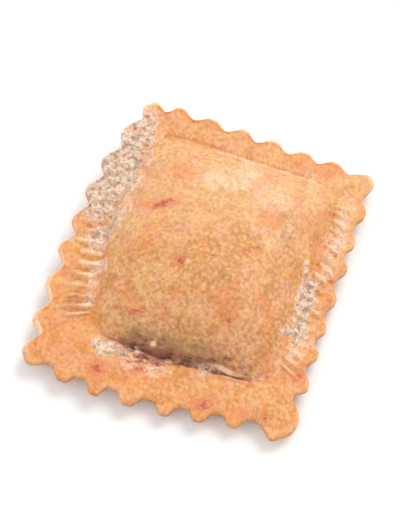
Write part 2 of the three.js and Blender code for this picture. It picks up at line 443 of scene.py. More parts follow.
def mesh_piece(name, points, faces):
    """A new smoothly shaded object in the scene, from points and faces."""
    mesh = bpy.data.meshes.new(name)
    mesh.from_pydata([tuple(point) for point in points], [], faces)
    mesh.validate()
    mesh.shade_smooth()
    piece = bpy.data.objects.new(name, mesh)
    bpy.context.scene.collection.objects.link(piece)
    return piece


def vectors(items, name):
    """The vector that each item of a mesh has under this name."""
    values = np.empty(len(items) * 3)
    items.foreach_get(name, values)
    return values.reshape(-1, 3)


def normals_of(piece):
    return vectors(piece.data.vertex_normals, "vector")


def points_of(piece):
    return vectors(piece.data.vertices, "co")


def set_points(piece, points):
    piece.data.vertices.foreach_set("co", np.ascontiguousarray(points).ravel())
    piece.data.update()


def paint(piece, name, values):
    """Stores a value at every point of a piece, for its material to read."""
    layer = piece.data.attributes.new(name, "FLOAT", "POINT")
    layer.data.foreach_set("value", np.asarray(values, dtype=np.float32))


def painted_on(piece, name):
    """The values stored on a piece under this name."""
    values = np.empty(len(piece.data.vertices), dtype=np.float32)
    piece.data.attributes[name].data.foreach_get("value", values)
    return values


class Patch(NamedTuple):
    """Flour on the dough: the patch's middle, its half sizes and how thick it is."""

    x: float
    y: float
    half_x: float
    half_y: float
    thick: float


FLOUR_PATCHES = {
    "left seal, back": Patch(-0.0237, 0.0135, 0.0051, 0.0130, 1.00),
    "left flank, back": Patch(-0.0197, 0.0110, 0.0034, 0.0130, 0.56),
    "back left corner": Patch(-0.0221, 0.0248, 0.0042, 0.0038, 0.80),
    "left foot, middle": Patch(-0.0219, -0.0015, 0.0020, 0.0045, 0.74),
    "left foot, front": Patch(-0.0204, -0.0110, 0.0020, 0.0070, 0.52),
    "right foot, front": Patch(0.0194, -0.0037, 0.0019, 0.0095, 0.85),
    "right seal, front": Patch(0.0217, -0.0087, 0.0020, 0.0070, 0.40),
    "right seal, back": Patch(0.0216, 0.0125, 0.0026, 0.0110, 0.45),
    "front left of the pocket": Patch(-0.0122, -0.0224, 0.0040, 0.0017, 0.78),
    "front seal by the crease": Patch(-0.0050, -0.0246, 0.0065, 0.0013, 0.48),
    "front seal, right": Patch(0.0106, -0.0226, 0.0056, 0.0009, 0.42),
    "front crease": Patch(0.0090, -0.0213, 0.0075, 0.0007, 0.50),
    "front right of the pocket": Patch(0.0150, -0.0205, 0.0030, 0.0016, 0.42),
    "crown, back": Patch(0.0010, 0.0160, 0.0100, 0.0052, 0.41),
    "crown, back right": Patch(0.0095, 0.0095, 0.0065, 0.0070, 0.31),
    "foot, back": Patch(0.0040, 0.0228, 0.0110, 0.0010, 0.60),
}


def flour_on(points, seed):
    """How thickly flour lies at each point, from 0 to 1, seen from above."""
    ragged = 0.35 * lumps(points, 0.0045, seed, octaves=2)
    ragged = ragged + 0.20 * lumps(points, 0.0010, seed + 2)
    thick = np.full(len(points), 0.06) + 0.07 * lumps(points, 0.006, seed + 1)
    plan_x, plan_y = in_plan(points)
    for patch in FLOUR_PATCHES.values():
        x = (plan_x - patch.x) / patch.half_x
        y = (plan_y - patch.y) / patch.half_y
        out = np.cbrt(np.abs(x) ** 3 + np.abs(y) ** 3) + ragged
        thick = np.maximum(thick, patch.thick * (1 - smooth(out, 0.45, 1.35)))
    return np.clip(thick, 0, 1)


class Fold(NamedTuple):
    """A fold of dough along the front crease: its middle and half its length along the
    crease, how far from the pocket's foot it runs and half its width, both as shares
    of the way across, and how high it stands, or how deep it goes if that is below 0."""

    x: float
    half_length: float
    across: float
    half_width: float
    height: float


FOLDS = (
    Fold(0.0100, 0.0046, -0.014, 0.020, 0.00055),
    Fold(0.0095, 0.0062, 0.054, 0.046, -0.00055),
    Fold(-0.0030, 0.0050, 0.070, 0.060, -0.00040),
    Fold(-0.0045, 0.0022, -0.030, 0.012, 0.00030),
    Fold(-0.0052, 0.0007, -0.055, 0.020, 0.00045),
    Fold(-0.0105, 0.0030, 0.020, 0.030, -0.00030),
    Fold(-0.0020, 0.0060, 0.230, 0.050, 0.00028),
    Fold(-0.0010, 0.0050, 0.120, 0.022, 0.00022),
    Fold(0.0040, 0.0040, -0.070, 0.016, 0.00022),
)

# How far folds sway across the foot, how often they do, and how high a crest is
FOLD_SWAY = 0.012
FOLD_SWAY_LENGTH = 0.0016
CREST_HEIGHTS = (0.0002, 0.00045)
# Where the crease and the shade on the flank above it begin and end, from left to right
CREASE_BEGINS = (-0.0135, -0.0070)
CREASE_ENDS = (0.0115, 0.0160)
SHADE_BEGINS = (-0.0150, -0.0080)
SHADE_ENDS = (0.0030, 0.0160)
# How ragged the lower ends of both are, and how wrinkles run: long from left to right
RAGGED = 0.045
WRINKLE_STRETCH = (0.35, 1.25, 1.0)


def front_of(shape, x, y):
    """1 in front of the pocket's middle, between its front corners, and 0 elsewhere."""
    pocket_x = (x - shape.pocket_centre[0]) / (shape.pocket_width / 2)
    pocket_y = (y - shape.pocket_centre[1]) / (shape.pocket_length / 2)
    return smooth(-pocket_y - 0.85 * np.abs(pocket_x), 0.0, 0.15)


def folds_at(x, across):
    """How high the folds stand at each point, and how much of a crest and of a groove
    it is."""
    height, crest, groove = np.zeros((3, len(x)))
    bent = FOLD_SWAY * np.sin(x / FOLD_SWAY_LENGTH)
    for fold in FOLDS:
        amount = bump(x, fold.x, fold.half_length)
        amount = amount * bump(across, fold.across + bent, fold.half_width)
        height += fold.height * amount
        if fold.height > 0:
            crest = np.maximum(crest, amount * smooth(fold.height, *CREST_HEIGHTS))
        else:
            groove = np.maximum(groove, amount)
    return np.array((height, crest, groove))


def flank_shade(x, across, rough):
    """How shaded the crown's flank is, darkest just above the crease."""
    shade = 0.55 * smooth(across, -0.32, -0.02)
    shade = shade + 0.45 * smooth(across + 0.02 * rough, -0.16, -0.04)
    shade = shade * (1 - smooth(across + RAGGED * rough, 0.02, 0.12))
    return shade * smooth(x, *SHADE_BEGINS) * (1 - 0.8 * smooth(x, *SHADE_ENDS))


def crease_shade(x, across, rough):
    """How dark the painted shade in the crease is. To the right it reaches less far over the
    seal.
    """
    reach = 0.34 - 0.20 * smooth(x, -0.0030, 0.0015) - 0.09 * smooth(x, 0.0020, 0.0055)
    dark = smooth(across + 0.03 * rough, -0.13, -0.01)
    return dark * (1 - smooth(across + RAGGED * rough, reach - 0.10, reach + 0.04))


def shape_crease(shape, points, across, upper, normals):
    """Sinks the pocket's foot at the front, lets the crown hang over it and folds the
    dough there, with fine streaks in it. Returns how shaded each point of the crown's
    flank is, how dark the crease is there, and how much of a crest it is."""
    x, y = in_plan(points)
    at_front = upper * front_of(shape, x, y)
    span = at_front * smooth(x, *CREASE_BEGINS) * (1 - smooth(x, *CREASE_ENDS))
    height, crest, groove = at_front * folds_at(x, across)
    wrinkles = span * bump(across, 0.03, 0.14)
    wrinkles = wrinkles * lumps(points * WRINKLE_STRETCH, 0.0011, seed=11, octaves=2)
    points += normals * (height + shape.wrinkles * wrinkles)[:, None]
    points[:, 2] -= shape.crease * span * bump(across, 0.02, 0.06)
    points[:, 1] -= shape.overhang * span * bump(across, -0.055, 0.05)

    rough = lumps(points, 0.0018, seed=12, octaves=3)
    shade = at_front * flank_shade(x, across, rough)
    dark = span * crease_shade(x, across, rough)
    # Streaks are lumps that are drawn out along a slant
    slanted = np.stack([0.45 * x + 0.20 * y, 1.1 * y - 0.2 * x, points[:, 2]], axis=1)
    strokes = smooth(lumps(slanted, 0.0009, seed=13, octaves=2), 0.0, 0.50)
    points += normals * (shape.streaks * strokes * dark * smooth(across, 0.0, 0.05))[:, None]
    streaks = strokes * smooth(dark, 0.0, 0.3) * smooth(across + RAGGED * rough, -0.03, 0.16)
    dark = np.clip(dark * (1 - 0.55 * strokes) + 1.1 * groove, 0, 1.25)
    return shade, dark, np.maximum(crest, 0.60 * streaks)


def shape_crown(shape, points, across, upper):
    """Lumps of filling under the dough, a shallow dent across them and one small pit."""
    on_crown = upper * smooth(-across, 0.02, 0.35)
    height = lumps(points, 0.0105, seed=2) + 0.4 * lumps(points, 0.0045, seed=3)
    x, y = in_plan(points)
    off_line = (x + DENT_SLANT * y - DENT_OFFSET) / DENT_STRETCH
    along_line = (y - DENT_SLANT * x) / DENT_STRETCH
    dent = bump(off_line, 0, 0.0030) * bump(along_line, 0.004, 0.009)
    height = shape.lumps * height - shape.dent * dent
    height = height - shape.pit * spot(x, y, PIT, 0.00105)
    points[:, 2] += on_crown * (height + shape.knob * spot(x, y, KNOB, 0.00060))


def stains(points):
    """How far the red of the large flakes has spread into the dough."""
    spread = np.zeros(len(points))
    plan_x, plan_y = in_plan(points)
    for flake in FLAKES:
        turn = math.radians(flake.turn)
        x, y = plan_x - flake.x, plan_y - flake.y
        along = (x * math.cos(turn) + y * math.sin(turn)) / flake.length
        aside = (y * math.cos(turn) - x * math.sin(turn)) / flake.width
        spread = np.maximum(spread, flake.stain * bump(np.hypot(along, aside), 0, 0.95))
    return spread


def make_dough(shape, looks):
    """The dough, with the values that its material reads at every point."""
    made = Lines(shape)
    points, faces = skin(made.lines)
    across, upper = made.values("across"), made.values("upper")
    rib, bead = made.values("rib"), made.values("bead")
    inside = np.maximum(0, -across)
    piece = mesh_piece(DOUGH_PIECE, points, faces)
    shade, dark, fold = shape_crease(shape, points, across, upper, normals_of(piece))
    shape_crown(shape, points, across, upper)
    set_points(piece, points)
    normals = normals_of(piece)

    fine = lumps(points, 0.0010, seed=21)
    broad = lumps(points, 0.0032, seed=24)
    crumb = lumps(points, 0.0011, seed=23)
    flour = upper * flour_on(points, seed=5)
    on_ribs = rib**0.7 * (1 - smooth(flour, 0.5, 0.9)) * np.clip(0.80 + 0.6 * broad, 0, 1)
    on_bead = 0.95 * bead * np.clip(0.85 + 0.5 * broad, 0, 1)
    resting = smooth(points[:, 2], 0.0, 0.0012)
    relief = shape.grain * (fine + 2.6 * broad) * (0.4 + 0.6 * upper)
    relief = relief + shape.flour_relief * flour * crumb
    points = points + normals * (relief * np.where(upper > 0, 1, resting))[:, None]
    set_points(piece, points)

    caked = flour * (0.88 + 0.22 * crumb + 0.5 * (1 - flour) * broad)
    x, y = in_plan(points)
    # Painted shade in the pit
    pit_shade = upper * spot(x, y, PIT, 0.0008)
    # A painted highlight on the knob beside the pit
    knob_highlight = upper * spot(x, y, KNOB, 0.0006)
    # Painted shade on the crown's flank at the front right
    shade = np.maximum(shade, 0.34 * smooth(inside, 0, 0.1) * spot(x, y, SHADED_FLANK, 0.006))
    # Painted light and shade on the crown: painted lighter towards the back and darker towards
    # the front
    front_shading = smooth(0.4 * x - y, -0.0125, 0.0145) * smooth(inside, 0.0, 0.1)
    bare = 1 - 0.8 * fold
    painted = {
        "crown": upper * smooth(inside, 0.0, 0.12),
        "front": upper * front_shading,
        "back": upper * smooth(y + 0.4 * x, 0.012, 0.028),
        "deep": 0.38 * upper * spot(x, y, DEEP_SEAL, 0.0075),
        "flour": np.clip(np.maximum(caked, 0.5 * fold), 0, 1),
        "thick": smooth(flour, 0.45, 0.9),
        # Flour brushed on the ribs, bead and folds with painted highlights on them, and only a
        # painted highlight on the knob
        "cream": np.max([on_ribs, on_bead, 0.75 * fold, knob_highlight], axis=0),
        # Painted shade above the crease, in the grooves between ribs and on the flank at the
        # front right
        "shade": np.maximum(shade * bare, 0.75 * made.values("groove")),
        # Painted shade in the crease and in the pit
        "dark": np.maximum(dark * bare, 0.6 * pit_shade),
        "stain": upper * stains(points),
        # Painted shade on the cut edge where it faces the front
        "edge": made.values("wall") * smooth(-normals[:, 1], -0.2, 0.6),
    }
    for name, values in painted.items():
        paint(piece, name, values)
    piece.data.materials.append(dough_material(looks))
    return piece


# ---- Materials


class Shader:
    """Adds nodes to a material and joins them up."""

    def __init__(self, name):
        self.material = bpy.data.materials.new(name)
        self.material.use_nodes = True
        self.tree = self.material.node_tree
        self.surface = self.tree.nodes["Principled BSDF"]
        self.place = self.tree.nodes.new("ShaderNodeTexCoord").outputs["Object"]
        self.colour = None

    def node(self, kind, **settings):
        made = self.tree.nodes.new(kind)
        for name, value in settings.items():
            setattr(made, name, value)
        return made

    def join(self, value, socket):
        if isinstance(value, bpy.types.NodeSocket):
            self.tree.links.new(value, socket)
        else:
            socket.default_value = value

    def painted(self, name):
        """A value stored on the piece."""
        return self.node("ShaderNodeAttribute", attribute_name=name).outputs["Fac"]

    def texture(self, kind, size, shift, narrow=(1, 1, 1)):
        """A texture with lumps of about this size, or narrower along some axes."""
        moved = self.node("ShaderNodeVectorMath", operation="MULTIPLY_ADD")
        self.join(self.place, moved.inputs[0])
        moved.inputs[1].default_value = narrow
        moved.inputs[2].default_value = (shift, -shift, 0.5 * shift)
        made = self.node(kind)
        self.join(moved.outputs[0], made.inputs["Vector"])
        made.inputs["Scale"].default_value = 1 / size
        return made

    def granules(self, size, shift):
        """How far each place is from the nearest of granules that lie about this far
        apart: 0 in the middle of one and 1 between them."""
        made = self.texture("ShaderNodeTexVoronoi", size, shift)
        return self.range(made.outputs["Distance"], 0.0, 1.1)

    def noise(self, size, detail=2.0, shift=0.0, narrow=(1, 1, 1)):
        """Noise from 0 to 1 in lumps of about this size."""
        made = self.texture("ShaderNodeTexNoise", size, shift, narrow)
        made.inputs["Detail"].default_value = detail
        return made.outputs["Fac"]

    def math(self, operation, first, second=0.0):
        made = self.node("ShaderNodeMath", operation=operation)
        self.join(first, made.inputs[0])
        self.join(second, made.inputs[1])
        return made.outputs[0]

    def range(self, value, low, high, to_low=0.0, to_high=1.0):
        """Maps low to high smoothly on to another range."""
        made = self.node("ShaderNodeMapRange", interpolation_type="SMOOTHSTEP")
        self.join(value, made.inputs["Value"])
        ends = {"From Min": low, "From Max": high, "To Min": to_low, "To Max": to_high}
        for name, end in ends.items():
            made.inputs[name].default_value = end
        return made.outputs["Result"]

    def varied(self, operation, painted, pattern, *ends):
        """A painted value with a range of a pattern added to it or multiplied in."""
        return self.math(operation, self.painted(painted), self.range(pattern, *ends))

    def mix(self, share, first, second):
        """Blends two colours."""
        made = self.node("ShaderNodeMix", data_type="RGBA")
        self.join(share, made.inputs["Factor"])
        for colour, name in ((first, "A"), (second, "B")):
            joined = isinstance(colour, bpy.types.NodeSocket)
            self.join(colour if joined else (*colour, 1), made.inputs[name])
        return made.outputs["Result"]

    def tint(self, share, colour):
        """Covers the colour so far with this share of another."""
        self.colour = self.mix(share, self.colour, colour)

    def finish(self, roughness, specular=0.5, soft=()):
        """Sets the colour so far, the roughness and the gloss, and for what lets light
        in, how much of it, how far red, green and blue go, and the scale of that."""
        surface = self.surface.inputs
        self.join(self.colour, surface["Base Color"])
        self.join(roughness, surface["Roughness"])
        surface["Specular IOR Level"].default_value = specular
        for name, value in zip(("Weight", "Radius", "Scale"), soft):
            surface["Subsurface " + name].default_value = value
        return self.material

    def bump(self, height, depth, under=None):
        """A bump of this depth, over another one if given."""
        made = self.node("ShaderNodeBump")
        made.inputs["Strength"].default_value = 1.0
        made.inputs["Distance"].default_value = depth
        self.join(height, made.inputs["Height"])
        if under is not None:
            self.join(under, made.inputs["Normal"])
        return made.outputs["Normal"]


def dough_material(looks):
    """Matte dough: tan over the filling, with a painted highlight towards its back and
    painted shade towards its front, orange in the seal, with painted shade in the crease,
    the pit, the grooves between ribs and on the cut edge, grainy all over, and whitened
    where flour lies on it, with painted highlights on the ribs, bead, folds and knob."""
    shader = Shader("Fresh dough")
    patches = shader.noise(0.0075)
    blotches = shader.noise(0.0034)
    flushes = shader.noise(0.0042, shift=5.9)
    pools = shader.noise(0.0050, 1.0, 2.3)
    grains = shader.noise(0.00082, 1.0)
    specks = shader.noise(0.00074, 1.0, 3.1)
    pinks = shader.noise(0.00125, 1.0, 7.7)
    dust = shader.noise(0.00045, 1.0)
    crumbs = shader.noise(0.00080, 0.0, 4.4)
    strands = shader.noise(0.00078, 1.0, 9.3, (0.42, 1.25, 1.0))
    pale_apart = shader.range(shader.granules(0.00078, 1.7), 0.0, 1.0, 0.20, -0.20)
    dark_apart = shader.range(shader.granules(0.00086, 6.1), 0.0, 1.0, -0.20, 0.20)
    pale_grains = shader.math("ADD", grains, pale_apart)
    dark_grains = shader.math("ADD", specks, dark_apart)

    # The crown's tan, with a painted highlight towards the back and painted shade towards the
    # front
    front = shader.painted("front")
    tan = shader.mix(shader.range(front, 0.0, 0.45), looks.crown_back, looks.crown)
    tan = shader.mix(shader.range(front, 0.55, 1.0), tan, looks.crown_front_shade)
    seal = shader.mix(shader.painted("back"), looks.seal, looks.seal_back)
    over_filling = shader.varied("MULTIPLY", "crown", patches, 0.3, 0.7, 0.8, 1.0)
    shader.colour = shader.mix(over_filling, seal, tan)

    # Each tint shows as its pattern goes from one value to another, at most so strongly
    grainy = looks.graininess
    tints = (
        (looks.pale_grain, blotches, 0.47, 0.66, 0.50),
        (looks.dark_grain_and_shade, blotches, 0.50, 0.25, 0.40),
        (looks.pink_grain, pinks, 0.44, 0.68, grainy),
        (looks.pink_grain, flushes, 0.47, 0.64, 0.75),
        (looks.pale_grain, pale_grains, 0.42, 0.76, 1.1 * grainy),
    )
    for tint, pattern, low, high, most in tints:
        shader.tint(shader.range(pattern, low, high, 0.0, most), tint)
    pooled = shader.range(pools, 0.50, 0.66, 0.0, 0.45)
    pooled = shader.math("MAXIMUM", shader.painted("deep"), pooled)
    shader.tint(pooled, looks.pool)
    dark_specks = shader.range(dark_grains, 0.56, 0.24, 0.0, 0.90 * grainy)
    more_in_front = shader.range(front, 0.0, 0.8, 0.70, 1.0)
    dark_specks = shader.math("MULTIPLY", dark_specks, more_in_front)
    shader.tint(dark_specks, looks.dark_grain_and_shade)

    # Painted shade above the crease, in the grooves between ribs and on the front right flank
    shade = shader.varied("ADD", "shade", specks, 0.3, 0.7, 0.12, -0.15)
    shader.tint(shader.range(shade, 0.03, 1.0, 0.0, 0.82), looks.shade)
    # Painted shade in the crease and the pit, streaked darker and paler
    dark = shader.varied("ADD", "dark", strands, 0.36, 0.64, 0.16, -0.46)
    crease_shade_colour = shader.mix(shader.range(pinks, 0.35, 0.65), looks.crease, looks.crease_pale)
    shader.tint(shader.range(dark, 0.0, 0.85, 0.0, 0.92), crease_shade_colour)
    # Painted shade on the cut edge where it faces the front, in the dark grains' colour
    edge = shader.varied("MULTIPLY", "edge", blotches, 0.3, 0.6, 0.75, 0.45)
    shader.tint(edge, looks.dark_grain_and_shade)
    # Cream flour and painted highlights on the ribs, bead, folds and knob
    cream = shader.varied("MULTIPLY", "cream", dust, 0.3, 0.7, 0.75, 1.15)
    shader.tint(shader.range(cream, 0.1, 0.9, 0.0, 0.92), looks.cream)
    stain = shader.varied("MULTIPLY", "stain", grains, 0.3, 0.7, 0.5, 1.0)
    shader.tint(stain, looks.stain)

    dusty = shader.range(dust, 0.3, 0.7, 0.65, 1.35)
    dusty = shader.math("ADD", dusty, shader.range(pinks, 0.3, 0.7, -0.20, 0.10))
    flour = shader.math("MULTIPLY", shader.painted("flour"), dusty)
    floured = shader.range(flour, 0.12, 0.95, 0.0, 0.95)
    shader.tint(floured, looks.flour)
    # Dough between the crumbs of caked flour, darkened as painted shade
    gap_shade = shader.varied("MULTIPLY", "thick", crumbs, 0.54, 0.35, 0.0, 0.78)
    shader.tint(gap_shade, looks.flour_gap_shade)

    rough = shader.bump(specks, 0.00010)
    crumbly = shader.math("MULTIPLY", shader.painted("thick"), crumbs)
    rough = shader.bump(crumbly, 0.0006, rough)
    shader.join(shader.bump(dust, 0.00008, rough), shader.surface.inputs["Normal"])
    roughness = shader.range(floured, 0.0, 1.0, looks.roughness, 0.95)
    soft = (looks.translucency, (1.0, 0.45, 0.2), 0.0010)
    return shader.finish(roughness, 0.3, soft)


def flour_material(looks):
    """Dry, powdery flour, which is warmer in colour where it has taken up moisture."""
    shader = Shader("Loose flour")
    dry = shader.varied("ADD", "dry", shader.noise(0.0016), 0.3, 0.7, -0.3, 0.0)
    dry = shader.range(dry, 0.0, 0.8)
    shader.colour = shader.mix(dry, looks.flour_shade, looks.loose_flour)
    return shader.finish(0.95, 0.2, (0.3, (1.0, 0.8, 0.6), 0.0004))


def flake_material(looks):
    """Soft red flakes that pass into the dough where they thin out."""
    shader = Shader("Red flakes")
    thin = shader.varied("ADD", "thin", shader.noise(0.0006), 0.3, 0.7, -0.35, 0.35)
    thin = shader.range(thin, 0.25, 0.95)
    shader.colour = shader.mix(thin, looks.flake, looks.flake_edge)
    return shader.finish(0.5, 0.5, (0.4, (1.0, 0.3, 0.2), 0.0006))


def floor_material(looks):
    shader = Shader("Pale floor")
    grain = shader.range(shader.noise(0.02), 0.0, 1.0, 0.985, 1.0)
    shader.colour = shader.mix(grain, np.array(looks.floor) * 0.95, looks.floor)
    return shader.finish(0.9, 0.1)


# ---- Flakes and flour


class Surface:
    """The dough's top as triangles, to lay things on."""

    def __init__(self, piece):
        mesh = piece.data
        mesh.calc_loop_triangles()
        corners = np.empty(len(mesh.loop_triangles) * 3, dtype=np.int32)
        mesh.loop_triangles.foreach_get("vertices", corners)
        self.corners = corners.reshape(-1, 3)
        self.points = points_of(piece)
        self.normals = normals_of(piece)
        a, b, c = (self.points[self.corners[:, i]] for i in range(3))
        crossed = np.cross(b - a, c - a)
        self.areas = np.linalg.norm(crossed, axis=1) / 2
        self.upward = crossed[:, 2] > 0

    def scatter(self, count, weights, random):
        """Random places on the triangles, as often as weights say, with their normals
        and the numbers of their triangles."""
        weights = weights * self.areas
        chosen = random.choice(len(weights), count, p=weights / weights.sum())
        shares = random.dirichlet((1, 1, 1), count)[:, :, None]
        corners = self.corners[chosen]
        places = (self.points[corners] * shares).sum(axis=1)
        normals = (self.normals[corners] * shares).sum(axis=1)
        return places, normals / np.linalg.norm(normals, axis=1)[:, None], chosen

    def at(self, x, y):
        """The point of the top nearest to this place in the plan, and its normal."""
        up = self.normals[:, 2] > 0.2
        away = np.hypot(self.points[:, 0] - x, self.points[:, 1] - y) + np.where(up, 0, 1)
        nearest = int(np.argmin(away))
        return self.points[nearest], self.normals[nearest]


def ball(subdivisions):
    """The points and faces of a ball of radius 1, made of even triangles."""
    mesh = bmesh.new()
    bmesh.ops.create_icosphere(mesh, subdivisions=subdivisions, radius=1)
    points = np.array([vert.co[:] for vert in mesh.verts])
    faces = np.array([[vert.index for vert in face.verts] for face in mesh.faces])
    mesh.free()
    return points, faces


def many(name, blobs, faces):
    """One piece from many blobs of points, which all have the same faces."""
    firsts = np.arange(len(blobs))[:, None, None] * len(blobs[0])
    return mesh_piece(name, np.concatenate(blobs), (faces + firsts).reshape(-1, 3).tolist())


def laid_on(normal, turn):
    """A rotation that lays something's Z along a normal and turns it about that."""
    lean = Vector((0, 0, 1)).rotation_difference(Vector(normal)).to_matrix()
    return np.array(lean @ Matrix.Rotation(turn, 3, "Z"))


class Flake(NamedTuple):
    """A flake: its place in the plan, its length and width, its turn in degrees, and
    how strongly it has stained the dough."""

    x: float
    y: float
    length: float
    width: float
    turn: float
    stain: float


FLAKES = (
    Flake(-0.0112, 0.0062, 0.0038, 0.0016, 28, 0.50),
    Flake(-0.0128, 0.0055, 0.0018, 0.0012, 60, 0.55),
    Flake(-0.0048, -0.0049, 0.0016, 0.0013, 60, 0.60),
    Flake(0.0065, 0.0005, 0.0016, 0.0012, 0, 0.55),
    Flake(-0.0101, -0.0159, 0.0033, 0.0007, 12, 0.45),
    Flake(0.0075, -0.0130, 0.0012, 0.0009, 40, 0.35),
    Flake(-0.0141, -0.0271, 0.0025, 0.0020, 70, 0.88),
    Flake(0.0072, -0.0282, 0.0025, 0.0018, 35, 0.80),
    Flake(-0.0064, -0.0250, 0.0020, 0.0010, 10, 0.75),
    Flake(0.0190, -0.0272, 0.0012, 0.0008, -25, 0.45),
    Flake(0.0226, -0.0172, 0.0018, 0.0014, 80, 0.80),
    Flake(0.0228, 0.0038, 0.0013, 0.0009, 20, 0.60),
    Flake(-0.0216, 0.0264, 0.0013, 0.0008, 40, 0.70),
    Flake(-0.0232, 0.0232, 0.0009, 0.0007, 70, 0.55),
)


def make_flakes(settings, looks, surface):
    """The red flakes, sunk in the dough so that little more than their faces show."""
    random = np.random.default_rng(settings.seed)
    ball_points, ball_faces = ball(3)
    moved = [(flake, *(PLAN_MIDDLE + (flake.x, flake.y))) for flake in FLAKES]
    laid = [(flake, *surface.at(x, y)) for flake, x, y in moved]
    upward = surface.upward.astype(float)
    places, normals, _ = surface.scatter(settings.small_count, upward, random)
    for place, normal in zip(places, normals):
        length = random.uniform(0.35, 1.0) * settings.small_size
        width = length * random.uniform(0.4, 0.8)
        flake = Flake(0, 0, length, width, random.uniform(0, 360), 0)
        laid.append((flake, place, normal))
    blobs = []
    for index, (flake, place, normal) in enumerate(laid):
        ragged = lumps(ball_points, 0.9, seed=40 + index)
        grown = ball_points * (1 + 0.28 * ragged)[:, None]
        grown = grown * (flake.length / 2, flake.width / 2, settings.thickness / 2)
        turned = grown @ laid_on(normal, math.radians(flake.turn)).T
        blobs.append(turned + place - normal * settings.thickness * settings.sunk)
    piece = many(FLAKES_PIECE, blobs, ball_faces)
    paint(piece, "thin", np.tile(np.hypot(ball_points[:, 0], ball_points[:, 1]), len(laid)))
    piece.data.materials.append(flake_material(looks))
    return piece


def make_flour(flour, looks, surface, thickness):
    """Loose grains and clots of flour, most where the dusting is thickest. The few on
    bare dough have taken up its moisture."""
    random = np.random.default_rng(flour.seed)
    ball_points, ball_faces = ball(1)
    thick = thickness[surface.corners].mean(axis=1)
    weights = surface.upward * np.clip(thick - 0.30, 0.002, 1) ** 1.5
    places, normals, chosen = surface.scatter(flour.count, weights, random)
    dry = smooth(thick[chosen], 0.10, 0.40)
    sizes = flour.size * random.lognormal(0, 0.45, flour.count)
    rough = 1 + 0.40 * (random.random((flour.count, len(ball_points))) - 0.5) * 2
    squash = random.uniform(0.3, 0.75, flour.count)
    blobs = []
    for index in range(flour.count):
        grown = ball_points * rough[index][:, None] * (1, 1, squash[index]) * sizes[index]
        turned = grown @ laid_on(normals[index], random.uniform(0, math.tau)).T
        blobs.append(turned + places[index] + normals[index] * sizes[index] * 0.10)
    piece = many(FLOUR_PIECE, blobs, ball_faces)
    paint(piece, "dry", np.repeat(dry, len(ball_points)))
    piece.data.materials.append(flour_material(looks))
    return piece


# ---- The stage


class Softbox(NamedTuple):
    """A square light: which way it lies from the raviolo, how far off, its side and its
    colour."""

    towards: tuple
    distance: float
    side: float
    colour: tuple


SOFTBOXES = {
    "key": Softbox((0.45, 0.95, 1.15), 0.9, 0.60, (1.0, 0.985, 0.96)),
    "fill": Softbox((-0.9, -0.8, 1.0), 1.0, 0.9, (0.97, 0.98, 1.0)),
}
FLOOR_STEPS = 24


def make_floor(looks, size):
    side = np.linspace(-size / 2, size / 2, FLOOR_STEPS + 1)
    x, y = np.meshgrid(side, side)
    points = np.stack([x.ravel(), y.ravel(), np.zeros(x.size)], axis=1)
    numbers = np.arange(x.size).reshape(x.shape)
    corners = (numbers[:-1, :-1], numbers[:-1, 1:], numbers[1:, 1:], numbers[1:, :-1])
    faces = np.stack(corners, axis=2).reshape(-1, 4).tolist()
    floor = mesh_piece("floor", points, faces)
    floor.data.materials.append(floor_material(looks))


def in_scene(name, data, target, away, distance):
    """A lamp or camera that faces the target from a direction."""
    thing = bpy.data.objects.new(name, data)
    away = Vector(away).normalized()
    thing.location = Vector(target) + away * distance
    thing.rotation_euler = away.to_track_quat("Z", "Y").to_euler()
    bpy.context.scene.collection.objects.link(thing)
    return thing


def make_lamp(name, power, target):
    softbox = SOFTBOXES[name]
    data = bpy.data.lights.new(name, "AREA")
    data.shape = "SQUARE"
    data.size = softbox.side
    data.energy = power
    data.color = softbox.colour
    in_scene(name, data, target, softbox.towards, softbox.distance)


def make_camera(stage, target):
    data = bpy.data.cameras.new("camera")
    data.sensor_width = 36.0
    data.lens = stage.camera_lens
    data.clip_start = 0.01
    data.clip_end = 50.0
    around, up = stage.camera_around, stage.camera_up
    level = math.cos(up)
    away = (math.sin(around) * level, -math.cos(around) * level, math.sin(up))
    camera = in_scene("camera", data, target, away, stage.camera_distance)
    bpy.context.scene.camera = camera


# ---- Settings


def setting(name, description, default, **more):
    return bpy.props.FloatProperty(
        name=name, description=description, default=default, **more
    )


def metres(name, description, default):
    return setting(name, description, default, unit="LENGTH", precision=5)


def fraction(name, description, default):
    return setting(name, description, default, subtype="FACTOR", min=0, max=1)


def degrees(name, description, default):
    return setting(name, description, math.radians(default), subtype="ANGLE")


def whole(name, description, default):
    return bpy.props.IntProperty(name=name, description=description, default=default, min=1)


def rgb(name, description, default):
    return bpy.props.FloatVectorProperty(
        name=name, description=description, default=default, subtype="COLOR", min=0, max=1
    )


